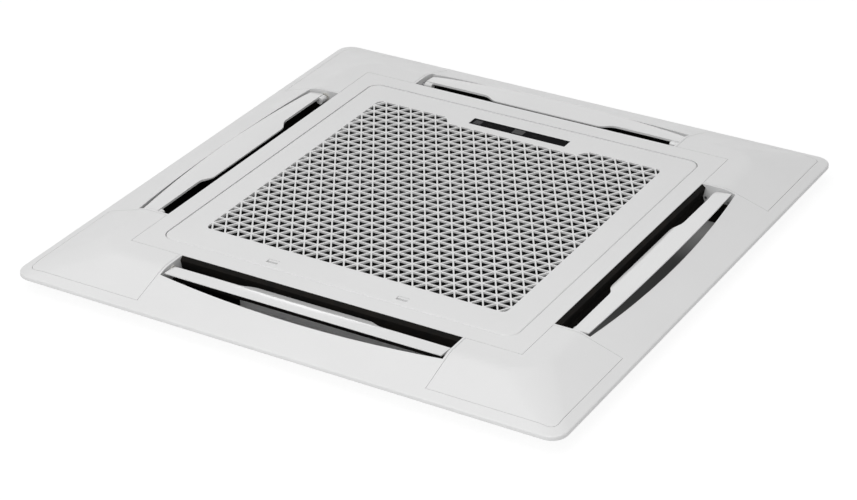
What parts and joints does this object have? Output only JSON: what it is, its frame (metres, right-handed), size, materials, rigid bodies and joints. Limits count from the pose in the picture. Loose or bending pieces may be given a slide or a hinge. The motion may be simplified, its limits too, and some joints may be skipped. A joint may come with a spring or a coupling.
{
  "type": "ceiling cassette air conditioner face panel",
  "caption": "Square face panel of a four-way ceiling cassette air conditioner, with bowed air louvres, a hinged triangular-mesh intake grille, filter, display strip and corner covers.",
  "frame": {"origin": "centre of the rear plane that meets the cased unit, on the lowest face of the panel", "axes": "+Z out of the face into the room, X and Y along the sides, the display strip at the +Y side"},
  "size_m": [0.62, 0.62, 0.0427],
  "materials": {
    "panel_white": "satin, fine moulded grain",
    "cover_white": "satin, fine moulded grain",
    "louvre_white": "semi-gloss",
    "grille_white": "satin",
    "latch_white": "satin",
    "housing_white": "matt",
    "foam_black": "matt closed-cell foam",
    "foam_grey": "matt open foam",
    "steel": "zinc plated",
    "motor_steel": "pressed can",
    "bush_nylon": "natural nylon",
    "filter_grey": "matt",
    "filter_net": "woven nylon net",
    "window_black": "high gloss",
    "board_green": "solder resist",
    "led_clear": "clear lens",
    "receiver_black": "gloss",
    "button_grey": "gloss"
  },
  "bodies": {
    "frame": {"panel_frame": "panel_white", "duct_liner_front": "foam_black", "duct_liner_right": "foam_black", "duct_liner_back": "foam_black", "duct_liner_left": "foam_black", "louvre_bush_front": "bush_nylon", "louvre_bush_right": "bush_nylon", "louvre_bush_back": "bush_nylon", "louvre_bush_left": "bush_nylon", "louvre_motor_front": "motor_steel", "louvre_motor_right": "motor_steel", "louvre_motor_back": "motor_steel", "louvre_motor_left": "motor_steel", "motor_screws": "steel", "intake_seal": "foam_grey"},
    "louvre_front": {"louvre_front": "louvre_white", "motor_shaft_front": "steel"},
    "louvre_right": {"louvre_right": "louvre_white", "motor_shaft_right": "steel"},
    "louvre_back": {"louvre_back": "louvre_white", "motor_shaft_back": "steel"},
    "louvre_left": {"louvre_left": "louvre_white", "motor_shaft_left": "steel"},
    "grille": {"intake_grille": "grille_white", "hinge_pins": "steel", "display_window": "window_black", "display_housing": "housing_white", "display_board": "board_green", "indicator_leds": "led_clear", "infrared_receiver": "receiver_black", "button_switch": "receiver_black", "display_screws": "steel"},
    "filter": {"filter_frame": "filter_grey", "filter_net": "filter_net"},
    "latch_left": {"latch_left": "latch_white"},
    "latch_right": {"latch_right": "latch_white"},
    "button": {"manual_button": "button_grey"},
    "cover_front_right": {"corner_cover_front_right": "cover_white"},
    "cover_back_right": {"corner_cover_back_right": "cover_white"},
    "cover_back_left": {"corner_cover_back_left": "cover_white"},
    "cover_front_left": {"corner_cover_front_left": "cover_white"}
  },
  "joints": [
    {"name": "louvre_front_swing", "type": "hinge", "parent": "frame", "child": "louvre_front", "pos_m": [0, -0.242, 0.032], "axis": [-1, 0, 0], "range_deg": [-10, 30]},
    {"name": "louvre_right_swing", "type": "hinge", "parent": "frame", "child": "louvre_right", "pos_m": [0.242, 0, 0.032], "axis": [0, -1, 0], "range_deg": [-10, 30]},
    {"name": "louvre_back_swing", "type": "hinge", "parent": "frame", "child": "louvre_back", "pos_m": [0, 0.242, 0.032], "axis": [1, 0, 0], "range_deg": [0, 40]},
    {"name": "louvre_left_swing", "type": "hinge", "parent": "frame", "child": "louvre_left", "pos_m": [-0.242, 0, 0.032], "axis": [0, 1, 0], "range_deg": [0, 40]},
    {"name": "grille_hinge", "type": "hinge", "parent": "frame", "child": "grille", "pos_m": [0, 0.1858, 0.036], "axis": [-1, 0, 0], "range_deg": [0, 85]},
    {"name": "latch_left_slide", "type": "slide", "parent": "grille", "child": "latch_left", "axis": [0, 1, 0], "range_m": [-0.0032, 0]},
    {"name": "latch_right_slide", "type": "slide", "parent": "grille", "child": "latch_right", "axis": [0, 1, 0], "range_m": [-0.0032, 0]},
    {"name": "filter_slide", "type": "slide", "parent": "grille", "child": "filter", "axis": [0, -1, 0], "range_m": [0, 0.01]},
    {"name": "button_press", "type": "slide", "parent": "grille", "child": "button", "axis": [0, 0, -1], "range_m": [0, 0.0008], "stiffness_N_per_m": 200, "springref_m": -0.002},
    {"name": "cover_front_right_lift", "type": "slide", "parent": "frame", "child": "cover_front_right", "axis": [0, 0, 1], "range_m": [0, 0.025]},
    {"name": "cover_back_right_lift", "type": "slide", "parent": "frame", "child": "cover_back_right", "axis": [0, 0, 1], "range_m": [0, 0.025]},
    {"name": "cover_back_left_lift", "type": "slide", "parent": "frame", "child": "cover_back_left", "axis": [0, 0, 1], "range_m": [0, 0.025]},
    {"name": "cover_front_left_lift", "type": "slide", "parent": "frame", "child": "cover_front_left", "axis": [0, 0, 1], "range_m": [0, 0.025]}
  ]
}
